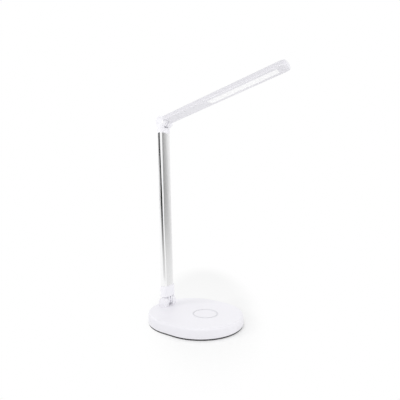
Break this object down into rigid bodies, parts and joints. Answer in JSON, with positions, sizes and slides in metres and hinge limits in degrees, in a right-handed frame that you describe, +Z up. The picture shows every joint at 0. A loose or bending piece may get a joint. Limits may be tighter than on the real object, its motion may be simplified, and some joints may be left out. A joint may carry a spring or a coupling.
{
  "type": "folding desk lamp",
  "caption": "Folding LED desk lamp: oval weighted base with a wireless charging pad, flattened aluminium arm and slim light bar on two friction hinges.",
  "frame": {"origin": "middle of the anti-slip pad's underside, on the table", "axes": "+X forward, the way the light bar points; +Y along both hinge axes; +Z up"},
  "size_m": [0.2557, 0.15, 0.422],
  "materials": {
    "base_cover": "satin",
    "floor_plate": "matte",
    "antislip_pad": "matte",
    "ballast_plate": "satin",
    "ballast_screws": "satin",
    "cover_screws": "satin",
    "grip_ring": "matte",
    "charging_coil": "satin",
    "ferrite_sheet": "matte",
    "touch_board": "satin",
    "main_board": "satin",
    "board_components": "satin",
    "board_screws": "satin",
    "power_inlet": "satin",
    "inlet_board": "satin",
    "hinge_block": "satin",
    "hinge_block_bolts": "satin",
    "lower_pin": "satin",
    "lower_disc_springs": "satin",
    "lower_nut": "satin",
    "lower_washers": "matte",
    "lower_hinge_caps": "satin",
    "arm_foot": "satin",
    "arm_tube": "satin",
    "arm_lead": "matte",
    "arm_screws": "satin",
    "arm_top": "satin",
    "upper_pin": "satin",
    "upper_disc_springs": "satin",
    "upper_nut": "satin",
    "upper_washers": "matte",
    "upper_hinge_caps": "satin",
    "head_knuckle": "satin",
    "knuckle_screws": "satin",
    "head_shell": "satin",
    "heat_spreader": "satin",
    "led_board": "satin",
    "leds": "satin",
    "diffuser": "satin",
    "head_frame": "satin",
    "frame_screws": "satin"
  },
  "bodies": {
    "base": {"base_cover": "base_cover", "floor_plate": "floor_plate", "antislip_pad": "antislip_pad", "ballast_plate": "ballast_plate", "ballast_screws": "ballast_screws", "cover_screws": "cover_screws", "grip_ring": "grip_ring", "charging_coil": "charging_coil", "ferrite_sheet": "ferrite_sheet", "touch_board": "touch_board", "main_board": "main_board", "board_components": "board_components", "board_screws": "board_screws", "power_inlet": "power_inlet", "inlet_board": "inlet_board", "hinge_block": "hinge_block", "hinge_block_bolts": "hinge_block_bolts", "lower_pin": "lower_pin", "lower_disc_springs": "lower_disc_springs", "lower_nut": "lower_nut", "lower_washers": "lower_washers", "lower_hinge_caps": "lower_hinge_caps"},
    "arm": {"arm_foot": "arm_foot", "arm_tube": "arm_tube", "arm_lead": "arm_lead", "arm_screws": "arm_screws", "arm_top": "arm_top", "upper_pin": "upper_pin", "upper_disc_springs": "upper_disc_springs", "upper_nut": "upper_nut", "upper_washers": "upper_washers", "upper_hinge_caps": "upper_hinge_caps"},
    "head": {"head_knuckle": "head_knuckle", "knuckle_screws": "knuckle_screws", "head_shell": "head_shell", "heat_spreader": "heat_spreader", "led_board": "led_board", "leds": "leds", "diffuser": "diffuser", "head_frame": "head_frame", "frame_screws": "frame_screws"}
  },
  "joints": [
    {"name": "stem_fold", "type": "hinge", "parent": "base", "child": "arm", "pos_m": [-0.0651, 0, 0.02645], "axis": [0, 1, 0], "range_deg": [-15, 91.9]},
    {"name": "head_fold", "type": "hinge", "parent": "arm", "child": "head", "pos_m": [-0.07396, 0, 0.36584], "axis": [0, -1, 0], "range_deg": [-50, 80.3]}
  ]
}
